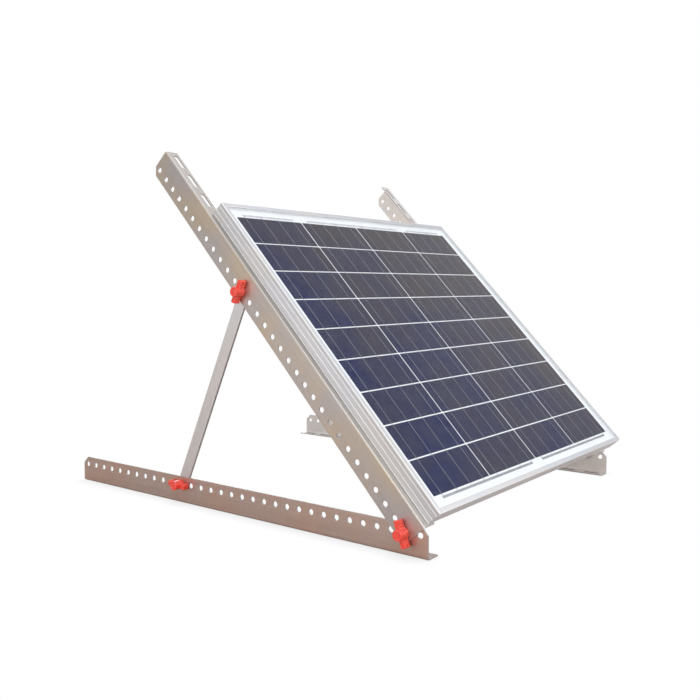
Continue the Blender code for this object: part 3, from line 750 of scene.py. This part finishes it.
def angle_leg(node, side, place, fold_sign, body, surfaces):
    """A perforated angle: a punched strip folded along its length."""
    low, high = local_box(node, place)
    outer = low.x if side == LEFT else high.x
    middle = FOLD_RADIUS - SHEET / 2
    bend = middle * pi / 2
    width = WEB_FLAT + bend + FLANGE_REACH - FOLD_RADIUS
    mesh = plate_mesh(blank_outlines(high.y - low.y, width), SHEET, EDGE_ROUND)
    mark_rims(mesh)

    def score(shell):
        for step in range(FOLD_STEPS + 1):
            line = WEB_FLAT + bend * step / FOLD_STEPS
            bmesh.ops.bisect_plane(shell, geom=shell.verts[:] + shell.edges[:] + shell.faces[:],
                                   plane_co=(0, line, 0), plane_no=(0, 1, 0))

    reworked(mesh, score)
    for polygon in mesh.polygons:
        if polygon.center.y > WEB_FLAT + bend / 2 and polygon.material_index == 0:
            polygon.material_index = 2

    def fold(point):
        across, lift = point.y, point.z
        if across <= WEB_FLAT:
            depth, height = SHEET / 2 - lift, across
        elif across >= WEB_FLAT + bend:
            depth = FOLD_RADIUS + across - WEB_FLAT - bend
            height = WEB_FLAT + middle + lift
        else:
            angle = (across - WEB_FLAT) / middle
            depth = FOLD_RADIUS - (middle + lift) * cos(angle)
            height = WEB_FLAT + (middle + lift) * sin(angle)
        return place @ Vector((outer - side * depth, low.y + point.x, fold_sign * (height - HOLE_TO_EDGE)))

    show(f"{node}_angle", moved(mesh, fold), surfaces, body, (node,))


def strut_bar(word, surfaces):
    """A flat bar with full round ends and a hole in each."""
    node = f"strut_{word}"
    low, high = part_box(node)
    foot = Vector((0, *joint_place(f"strut_swing_{word}")[1:]))
    tip_y = low.y + (high.y - foot.y)
    tip_z = high.z - (foot.z - low.z)
    reach = Vector((0, tip_y, tip_z)) - foot
    width = (high.y - foot.y) / MM * 2
    length = reach.length / MM
    place = Matrix.Translation(foot) @ Matrix.Rotation(atan2(reach.z, reach.y), 4, "X")
    thick = (high.x - low.x) / MM
    outlines = [stadium((length / 2, 0), length + width, width, STRUT_END_SIDES)]
    outlines += [circle((along, 0), HOLE_RADIUS) for along in (0, length)]
    mesh = plate_mesh(outlines, thick, STRUT_EDGE_ROUND)
    mark_rims(mesh)
    centre = (low.x + high.x) / 2

    def stand_up(point):
        return place @ Vector((centre + point.z * MM, point.x * MM, point.y * MM))

    show(f"{node}_bar", moved(mesh, stand_up), surfaces, f"{word}_strut", (node,))


# ---- knobs and bolts

def wing_outline():
    """Two ribbed wings on a round hub, as one outline."""
    root = sqrt(HUB_RADIUS ** 2 - WING_HALF ** 2) + WING_FILLET
    flat_end = WING_REACH - WING_TIP
    quarter = []
    for step in range(ARC_STEPS + 1):
        angle = pi / 2 * step / ARC_STEPS
        quarter.append((flat_end + WING_TIP * cos(angle) ** WING_SQUARE,
                        WING_HALF * sin(angle) ** WING_SQUARE))
    steps = WING_RIBS * ARC_STEPS
    for step in range(1, steps + 1):
        share = step / steps
        along = flat_end + (root - flat_end) * share
        quarter.append((along, WING_HALF - WING_RIB * (1 - cos(2 * pi * WING_RIBS * share)) / 2))
    hub_start = degrees(atan2(WING_HALF, root) + WING_TO_HUB)
    quarter += arc((0, 0), HUB_RADIUS, hub_start, 90, ARC_STEPS)
    half = quarter + [(-x, y) for x, y in quarter[-2::-1]]
    return half + [(x, -y) for x, y in half[-2:0:-1]]


def wing_knob(node, body, surfaces):
    """A moulded knob: ribbed wings over a hub with a dished, ringed end."""
    low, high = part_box(node)
    axis = (low + high) / 2
    side = LEFT if axis.x < frame_middle else RIGHT
    seat = high.x if side == LEFT else low.x
    length = (high.x - low.x) / MM
    tip = max(nodes[node].data.vertices, key=lambda v: (v.co.yz - axis.yz).length).co
    turn = atan2(tip.z - axis.z, tip.y - axis.y)

    hub = [(up, HUB_RADIUS - inset) for up, inset in HUB_FOOT]
    hub += [(length - back, HUB_RADIUS - inset) for back, inset in HUB_TIP]
    hub.append((length - HUB_TIP[-1][0], HUB_BORE))
    hub_mesh = mesh_of([turned(hub, ROUND_SIDES)])
    wing_end = length * WING_TOP[0] - WING_TOP[1]
    wing_mesh = plate_mesh([wing_outline()], wing_end - WING_FOOT, WING_ROUND, 3)
    moved(wing_mesh, lambda point: Vector((point.z + (WING_FOOT + wing_end) / 2, point.x, point.y)))

    def fit(point):
        along, across = cos(turn), sin(turn)
        return Vector((seat + side * point.x * MM,
                       axis.y + (point.y * along - point.z * across) * MM,
                       axis.z + (point.y * across + point.z * along) * MM))

    show(f"{node}_moulding", moved(joined([hub_mesh, wing_mesh]), fit), surfaces, body,
         (node,), angle=50.0)


def hexagon_reach(flat):
    """For turned(): a ring's radius, held inside a hexagon of this half width across the flats."""
    def reach(angle, position, radius):
        turn = (angle + pi / 6) % (pi / 3) - pi / 6
        return min(flat / cos(turn), radius)
    return reach


def hex_bolt(node, body, place, axis, head, outward):
    """A chamfered hexagon head, its washer face and the shank behind it."""
    head_flat, head_height = head
    low, high = local_box(node, place)
    centre = (low + high) / 2
    start, end = (low[axis], high[axis]) if outward > 0 else (high[axis], low[axis])
    flat = head_flat / 2
    reach = abs(end - start)
    shank = head_flat * SHANK_SHARE
    taper, depth = SHANK_POINT
    block = [(head_height * up, flat * out) for up, out in HEAD_PROFILE]
    rod = [(head_height - SHANK_SUNK, shank), (reach - taper, shank), (reach, shank - depth)]
    mesh = mesh_of([turned(block, ROUND_SIDES, hexagon_reach(flat)), turned(rod, SHANK_SIDES)])

    def fit(point):
        spot = list(centre)
        spot[axis] = start + outward * point.x
        others = [other for other in range(3) if other != axis]
        spot[others[0]] += point.y
        spot[others[1]] += point.z
        return place @ Vector(spot)

    show(f"{node}_hex", moved(mesh, fit), [steel], body, (node,), angle=28.0)


# ---- panel

def frame_section():
    """(inward, up) outline of the frame: rounded edges, fine raised ribs on its outer face."""
    top, wall = FRAME_DEPTH, FRAME_WALL
    shelf_top = FRAME_SHELF + SHELF_THICK
    outline = arc((HEEL_ROUND, HEEL_ROUND), HEEL_ROUND, 180, 270)
    outline += [(FRAME_FOOT - FOOT_ROUND, 0), (FRAME_FOOT, FOOT_ROUND), (FRAME_FOOT, FOOT_THICK - FOOT_ROUND),
                (FRAME_FOOT - FOOT_ROUND, FOOT_THICK), (wall, FOOT_THICK),
                (wall, FRAME_SHELF), (FRAME_SHELF_REACH, FRAME_SHELF), (FRAME_SHELF_REACH, shelf_top),
                (wall, shelf_top), (wall, top - LIP_THICK), (FRAME_LIP, top - LIP_THICK)]
    outline += arc((FRAME_LIP - LIP_ROUND, top - LIP_ROUND), LIP_ROUND, 0, 90)
    outline += arc((BEAD, top - BEAD), BEAD, 90, 180)
    edge = top - BEAD - BEAD_LAND
    for rib in reversed(FRAME_RIBS):
        outline.append((GROOVE, edge - GROOVE_SHOULDER))
        for step in range(RIB_STEPS + 1):
            angle = pi * (0.5 + step / RIB_STEPS)
            outline.append((GROOVE * (1 + cos(angle)), rib + RIB_HALF * sin(angle)))
        edge = rib - RIB_HALF
    return outline


def mark_beads(mesh, run, side):
    """Gives the second material to the rounded edges and ribs, which are painted near-white as a highlight.
    """
    turn_back = slope.to_3x3().normalized().inverted()
    for polygon in mesh.polygons:
        normal = turn_back @ polygon.normal
        flat = max(abs(normal[side]), abs(normal.z)) > 0.98
        mitre = abs(normal[run]) > 0.1
        polygon.material_index = 0 if flat or mitre else 1


def frame_bar(word, surfaces):
    """A mitred bar of the frame, rebuilt from its section along the CAD bar's length."""
    node = f"frame_{word}"
    low, high = local_box(node, slope)
    run = 1 if word in ("left", "right") else 0
    side = 1 - run
    edge, inward = (high[side], -1) if word in ("right", "top") else (low[side], 1)
    loops = []
    for end in (0, 1):
        loop = []
        for depth, height in frame_section():
            spot = [0.0, 0.0, low.z + height]
            spot[side] = edge + inward * depth
            spot[run] = low[run] + depth if end == 0 else high[run] - depth
            loop.append(tuple(spot))
        loops.append(loop)
    mesh = mesh_of([lofted(loops)], slope)
    mark_beads(mesh, run, side)
    show(f"{node}_bar", mesh, surfaces, PANEL_BODY, (node,), angle=40.0)


def slab(name, box, radius, edge, surface, stands_for):
    """A thin rounded plate that fills a box of the slope frame."""
    low, high = box
    outline = rounded(rectangle(low.x, high.x, low.y, high.y), radius)
    mesh = plate_mesh([outline], high.z - low.z, edge)
    middle = (low.z + high.z) / 2
    moved(mesh, lambda point: slope @ (point + Vector((0, 0, middle))))
    show(name, mesh, [surface], PANEL_BODY, stands_for)


def laminate_sheet(name, node, film, edge, surface):
    """The glass or the backsheet, as one slab with the encapsulant film on its inner face."""
    low, high = local_box(node, slope)
    film_low, film_high = local_box(film, slope)
    low.z = min(low.z, film_low.z)
    high.z = max(high.z, film_high.z)
    slab(name, (low, high), SLAB_CORNER, edge, surface, (node, film))


def ribbon_ring(centre, up, lift):
    """Section of a ribbon, its upper face slightly crowned."""
    left, right = centre - RIBBON_WIDTH / 2, centre + RIBBON_WIDTH / 2
    crown, under = lift + RIBBON_CROWN, lift - RIBBON_THICK
    return [(left, up, lift), (left + RIBBON_BEVEL, up, crown), (right - RIBBON_BEVEL, up, crown),
            (right, up, lift), (right, up, under), (left, up, under)]


def cells(number, cell_face, ribbon_face):
    """Nine cells of one string, and the four ribbons that dip from one cell's face to the next."""
    node = f"cell_string_{number}"
    low, high = local_box(node, slope)
    feet = [low.y + RIBBON_TAB + row * CELL_PITCH for row in range(CELL_ROWS)]
    wafers = []
    for foot in feet:
        outline = rectangle(low.x + BARE_EDGE, high.x - BARE_EDGE,
                            foot + BARE_EDGE, foot + CELL_HEIGHT - BARE_EDGE)
        wafers.append(plate_mesh([rounded(outline, WAFER_CORNER, 2)], high.z - low.z, WAFER_EDGE, 1))
    middle = (low.z + high.z) / 2
    whole = moved(joined(wafers), lambda point: slope @ (point + Vector((0, 0, middle))))
    show(f"{node}_wafers", whole, [cell_face], PANEL_BODY, (node,))

    top, dip = high.z + RIBBON_RISE, high.z - RIBBON_DIP
    spine = [(low.y, dip), (low.y + RIBBON_TAB - RIBBON_LEAD, dip)]
    for foot in feet:
        spine += [(foot + RIBBON_BEND, top), (foot + CELL_HEIGHT - RIBBON_BEND, top),
                  (foot + (CELL_HEIGHT + CELL_PITCH) / 2, dip)]
    spine[-1] = (high.y, dip)
    strips = []
    for index in range(RIBBONS):
        centre = low.x + (high.x - low.x) * (index + 0.5) / RIBBONS
        strips.append(lofted([ribbon_ring(centre, up, lift) for up, lift in spine]))
    show(f"{node}_ribbons", mesh_of(strips, slope), [ribbon_face], PANEL_BODY, angle=60.0)


def bus_strip(node, under_cells, surface):
    """A cross ribbon, trimmed to the part that shows beside the cells."""
    low, high = local_box(node, slope)
    if under_cells:
        low.y = high.y - BUS_WIDTH
    else:
        high.y = low.y + BUS_WIDTH
    slab(f"{node}_strip", (low, high), BUS_CORNER, BUS_EDGE, surface, (node,))


def under_lip_white_fill(surface):
    """A white ring around the laminate, seen through the glass as far as the frame's lip: painted light that
    fills the shade under the lip.
    """
    low, high = local_box("glass", slope)
    base = local_box("rear_encapsulant", slope)[1].z + WHITE_FILL_BASE
    top = high.z - WHITE_FILL_SUNK
    outer, short = WHITE_FILL_GAPS
    inner = FRAME_LIP - (low.x - local_box("frame_left", slope)[0].x) - short
    loops = []
    for inset, height in ((outer, base), (outer, top), (inner, top), (inner, base)):
        outline = rectangle(low.x + inset, high.x - inset, low.y + inset, high.y - inset)
        loops.append([(x, y, height) for x, y in outline])
    mesh = mesh_of([lofted(loops, ring=True)], slope)
    show("under_lip_white_fill_ring", mesh, [surface], PANEL_BODY)


def raised_plate(outline, thickness, edge, height):
    """A rounded plate whose middle lies at a height over the slope frame's ground plane."""
    return moved(plate_mesh([outline], thickness, edge), lambda point: point + Vector((0, 0, height)))


def show_plates(name, node, plates, surface):
    mesh = moved(joined(plates), lambda point: slope @ point)
    show(name, mesh, [surface], PANEL_BODY, (node,))


def junction_case(surface):
    """The box itself, on two feet that reach up the backsheet."""
    low, high = local_box("junction_box", slope)
    half, length, thick = BOX_FEET
    outline = rounded(rectangle(low.x, high.x, low.y, high.y), BOX_CORNER)
    plates = [raised_plate(outline, high.z - low.z, BOX_EDGE, (low.z + high.z) / 2)]
    start = high.y - BOX_FOOT_OVERLAP
    for x in (low.x + BOX_FOOT_SETBACK, high.x - BOX_FOOT_SETBACK):
        foot = rounded(rectangle(x - half, x + half, start, start + length), BOX_CORNER / 2)
        plates.append(raised_plate(foot, thick, SMALL_EDGE, high.z - BOX_FOOT_SUNK))
    show_plates("junction_box_case", "junction_box", plates, surface)


def junction_cover(surface):
    """The lid: a raised, ribbed middle and four clips."""
    low, high = local_box("junction_lid", slope)
    step, middle_thick, middle = LID_MIDDLE
    outer = rounded(rectangle(low.x, high.x, low.y, high.y), BOX_CORNER)
    inner = rounded(rectangle(low.x + step, high.x - step, low.y + step, high.y - step), 3.0)
    plates = [raised_plate(outer, LID_RIM, LID_EDGE, high.z - LID_RIM / 2),
              raised_plate(inner, middle_thick, LID_EDGE, low.z + middle)]
    length, width, thick = LID_RIB
    for index in range(LID_RIBS):
        y = low.y + LID_RIB_SETBACK + index * (high.y - low.y - 2 * LID_RIB_SETBACK) / (LID_RIBS - 1)
        rib = stadium(((low.x + high.x) / 2, y), length, width, 12)
        plates.append(raised_plate(rib, thick, SMALL_EDGE, low.z - 0.2))
    half_x, half_y, thick = CLIP
    for x in (low.x + CLIP_SETBACK[0], high.x - CLIP_SETBACK[0]):
        for y in (low.y + CLIP_SETBACK[1], high.y - CLIP_SETBACK[1]):
            clip = rounded(rectangle(x - half_x, x + half_x, y - half_y, y + half_y), 1.0)
            plates.append(raised_plate(clip, thick, SMALL_EDGE, low.z + 0.3))
    show_plates("junction_lid_cover", "junction_lid", plates, surface)


def show_fitting(name, profile, sides, radius_at, root, surface, stands_for, angle):
    """A turned plastic fitting whose axis runs down the panel from its root."""
    x, y, z = root
    mesh = mesh_of([turned(profile, sides, radius_at)])
    moved(mesh, lambda point: slope @ Vector((x + point.y, y - point.x, z + point.z)))
    show(name, mesh, [surface], PANEL_BODY, stands_for, angle)


def ridged(angle, position, radius):
    """Shallow grooves round the widest part of a gland."""
    groove = radius > GLAND_WIDEST and cos(angle * GLAND_RIDGES) < 0
    return radius - (GLAND_RIDGE_DEPTH if groove else 0)


def cable_gland(word, surface):
    low, high = local_box("junction_box", slope)
    middle = (low + high) / 2
    root = (middle.x + GLAND_OFFSET[word], low.y + GLAND_SUNK, middle.z)
    show_fitting(f"cable_gland_{word}", GLAND_PROFILE, ROUND_SIDES, ridged, root, surface, (), 30.0)


def grip(angle, position, radius):
    """Flutes round a plug's strain nut and ribs on the two sides of its grip."""
    flute = NUT_SPAN[0] < position < NUT_SPAN[1] and cos(angle * NUT_FLUTES) < -0.2
    rib = position % GRIP_RIB_PITCH < GRIP_RIB_PITCH / 2 and abs(sin(angle)) < 0.5
    rib = rib and GRIP_SPAN[0] < position < GRIP_SPAN[1]
    return radius - (NUT_FLUTE_DEPTH if flute else 0) - (GRIP_RIB_DEPTH if rib else 0)


def connector(word, surface):
    """A latching lead connector: strain nut, ribbed grip, waist and barrel."""
    node = f"connector_{word}"
    low, high = local_box(node, slope)
    profile = list(PLUG_NUT + PLUG_GRIP + PLUG_BARREL)
    profile += [(high.y - low.y - back, radius) for back, radius in PLUG_END]
    middle = (low + high) / 2
    fine = []
    for (start, near), (end, far) in zip(profile, profile[1:]):
        steps = max(1, int(abs(end - start) / PLUG_STEP))
        for step in range(steps):
            fine.append((start + (end - start) * step / steps, near + (far - near) * step / steps))
    fine.append(profile[-1])
    root = (middle.x, high.y, middle.z)
    show_fitting(f"{node}_shell", fine, PLUG_SIDES, grip, root, surface, (node,), 32.0)


def dress_node(name, surface, edge=0.0, subdivide=0):
    """Keeps a CAD node's shape: welded, edges softened, shading evened, its material replaced."""
    node = nodes[name]
    node.data.materials.clear()
    node.data.materials.append(surface)
    weld = node.modifiers.new("weld", "WELD")
    weld.merge_threshold = 0.00002
    if edge:
        bevel = node.modifiers.new("soft_edges", "BEVEL")
        bevel.width = edge * MM
        bevel.segments = 2
        bevel.limit_method = "ANGLE"
        bevel.angle_limit = radians(30)
    if subdivide:
        smooth = node.modifiers.new("round", "SUBSURF")
        smooth.levels = subdivide
        smooth.render_levels = subdivide
    shade_evenly(node)


# ---- stage

def make_floor():
    """A white floor: the camera sees its contact shadows, reflections see a warmer, dimmer paper."""
    low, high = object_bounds()
    centre = (low + high) / 2
    mesh = bpy.data.meshes.new("studio_floor")
    reworked(mesh, lambda shell: bmesh.ops.create_circle(
        shell, cap_ends=True, segments=96, radius=FLOOR_RADIUS))
    floor = in_scene("studio_floor", mesh)
    floor.location = (centre.x, centre.y, low.z - FLOOR_GAP)
    made, tree = new_material("studio_floor_paper")
    fibre = noise(tree, add(tree, "TexCoord").outputs["Object"], 60.0, 3.0)
    finished(made, Base_Color=mixed(tree, fibre, (0.50, 0.45, 0.42), (0.54, 0.49, 0.46)), Roughness=0.9)
    near = add(tree, "AmbientOcclusion", {"samples": 12}, Distance=SHADOW_REACH).outputs["AO"]
    glow = remap(tree, near, 0.0, 1.0, SHADOW_TONE, 1.0)
    white = add(tree, "Emission", None, Color=(1, 1, 1), Strength=glow)
    seen = add(tree, "LightPath").outputs["Is Camera Ray"]
    blended(tree, seen, tree.nodes["Principled BSDF"], white)
    mesh.materials.append(made)


def make_world():
    """White to the camera; to everything else a room that is bright above and dimmer at the sides."""
    world = bpy.data.worlds.new("studio")
    scene.world = world
    world.use_nodes = True
    tree = world.node_tree
    direction = add(tree, "TexCoord").outputs["Generated"]
    height = add(tree, "SeparateXYZ", None, Vector=direction).outputs[2]
    ramp = tree.nodes.new("ShaderNodeValToRGB")
    while len(ramp.color_ramp.elements) < len(ROOM_TONES):
        ramp.color_ramp.elements.new(1.0)
    for element, (position, colour) in zip(ramp.color_ramp.elements, ROOM_TONES):
        element.position = position
        element.color = (*colour, 1.0)
    put(tree, ramp.inputs[0], remap(tree, height, -1.0, 1.0))
    seen = add(tree, "LightPath").outputs["Is Camera Ray"]
    background = tree.nodes["Background"]
    put(tree, background.inputs["Color"], mixed(tree, seen, ramp.outputs[0], (1, 1, 1)))
    put(tree, background.inputs["Strength"], remap(tree, seen, 0, 1, ROOM_STRENGTH, 1.0))


def area_light(name, place, target, size, power):
    lamp = bpy.data.lights.new(name, "AREA")
    lamp.shape = "DISK"
    lamp.size = size
    lamp.energy = power
    holder = in_scene(name, lamp)
    holder.location = place
    holder.rotation_euler = (Vector(target) - Vector(place)).to_track_quat("-Z", "Y").to_euler()


def make_camera():
    data = bpy.data.cameras.new("camera")
    data.lens = CAMERA_LENS
    data.shift_x, data.shift_y = CAMERA_SHIFT
    data.clip_start = 0.02
    camera = in_scene("camera", data)
    camera.location = CAMERA_PLACE
    turn = Matrix.Rotation(CAMERA_AZIMUTH, 4, "Z") @ Matrix.Rotation(pi / 2 - CAMERA_ELEVATION, 4, "X")
    camera.rotation_euler = (turn @ Matrix.Rotation(-CAMERA_ROLL, 4, "Z")).to_euler()
    scene.camera = camera


# ---- build

def leg_surfaces(part, side):
    """Web, rim and flange of one leg; the flange has less of the web's brown, which is a painted reflection,
    and its own tone is painted light.
    """
    warm, cool, flange = LEG_PAINTED_LIGHT_TONES[part, side]
    name = f"{part}_{SIDE_NAME[side]}"
    place = level if part == "base" else slope
    pale = scaled(flange, 1.04)
    return [brushed_metal(f"leg_web_{name}", place, 1, warm, cool, 0.45), rim,
            brushed_metal(f"leg_flange_{name}", place, 1, flange, pale, 0.45)]


rim = worn_edge_and_highlight("leg_rim", level, (0.66, 0.62, 0.6))
leg_alloy = {key: leg_surfaces(*key) for key in LEG_PAINTED_LIGHT_TONES}
strut_place = level @ Matrix.Rotation(pi / 2 + tilt / 2, 4, "X")
strut_metal = brushed_metal("strut_alloy", strut_place, 1, (0.75, 0.72, 0.70), (0.71, 0.70, 0.70), 0.4)
pale, silver = (0.66, 0.65, 0.645), (0.63, 0.64, 0.67)
# the frame's beads and ribs get a near-white painted highlight
bright = worn_edge_and_highlight("frame_edge_painted_highlight", slope, (0.96, 0.95, 0.94), 0.35)
upright_alloy = [brushed_metal("frame_alloy_upright", slope, 1, pale, silver, 0.42, 0.08), bright]
cross_alloy = [brushed_metal("frame_alloy_cross", slope, 0, pale, silver, 0.48, 0.08), bright]
casting = speckled_metal("key_casting_grey", (0.42, 0.42, 0.43), 0.55, 0.6)
steel = speckled_metal("zinc_plated_steel", (0.62, 0.62, 0.6), 0.32, 0.5)
red = plastic("red_knob_plastic", (0.95, 0.075, 0.045), (0.84, 0.050, 0.028), 0.16, 1.2, 0.06, 0.6)
black = plastic("black_moulded_plastic", (0.035, 0.035, 0.037), (0.02, 0.02, 0.021), 0.5, 1.8, 0.3)
jacket = plastic("cable_jacket_rubber", (0.028, 0.028, 0.029), (0.016, 0.016, 0.016), 0.55, 1.2, 0.2)
ribbon = ribbon_surface("tinned_ribbon_solder", (0.30, 0.30, 0.34))
# one tinned ribbon in two copies: the top strips are painted light, the bottom ones painted shade
bus_tone = {"top": ribbon_surface("bus_ribbon_painted_lit", (0.74, 0.74, 0.76)),
            "bottom": ribbon_surface("bus_ribbon_painted_shade", (0.40, 0.40, 0.43))}
film = backsheet_surface()
wafer = cell_surface()
clear_glass = glass_surface()
sealant = sealant_surface()

for side in (LEFT, RIGHT):
    word = SIDE_NAME[side]
    angle_leg(f"base_leg_{word}", side, level, -1, "base", leg_alloy["base", side])
    angle_leg(f"upper_leg_{word}", side, slope, 1, PANEL_BODY, leg_alloy["upper", side])
    strut_bar(word, [strut_metal, rim])
    for joint in ("pivot", "lower", "upper"):
        wing_knob(f"{joint}_knob_{word}", f"{joint}_knob_{word}_body", [red])
    for joint, body in (("pivot", "base"), ("lower", "base"), ("strut", f"{word}_strut")):
        hex_bolt(f"{joint}_bolt_{word}", body, level, 0, KNOB_BOLT_HEAD, side)
    dress_node(f"upper_stud_{word}", steel, 0.3)
    dress_node(f"upper_spacer_{word}", steel, 0.3)
for number in range(1, 5):
    hex_bolt(f"panel_bolt_{number}", PANEL_BODY, slope, 2, PANEL_BOLT_HEAD, 1)
    dress_node(f"panel_insert_{number}", steel, 0.3)
    dress_node(f"corner_key_{number}", casting, 0.5)
    cells(number, wafer, ribbon)
for word in ("left", "right"):
    frame_bar(word, upright_alloy)
for word in ("top", "bottom"):
    frame_bar(word, cross_alloy)
for edge, count in (("bottom", 2), ("top", 3)):
    for number in range(1, count + 1):
        bus_strip(f"bus_ribbon_{edge}_{number}", edge == "bottom", bus_tone[edge])

laminate_sheet("cover_glass", "glass", "front_encapsulant", GLASS_EDGE, clear_glass)
laminate_sheet("backsheet_film", "backsheet", "rear_encapsulant", SHEET_EDGE, film)
dress_node("edge_seal", sealant)
# white ring that paints light into the shade under the frame's lip
under_lip_white_fill(film)
junction_case(black)
junction_cover(black)
dress_node("diode_strip", steel, 0.3)
for word in ("negative", "positive"):
    cable_gland(word, black)
    connector(word, black)
    dress_node(f"cable_{word}", jacket, subdivide=2)

make_world()
make_floor()
for lamp in LAMPS:
    area_light(*lamp)
make_camera()
scene.view_settings.view_transform = "Standard"
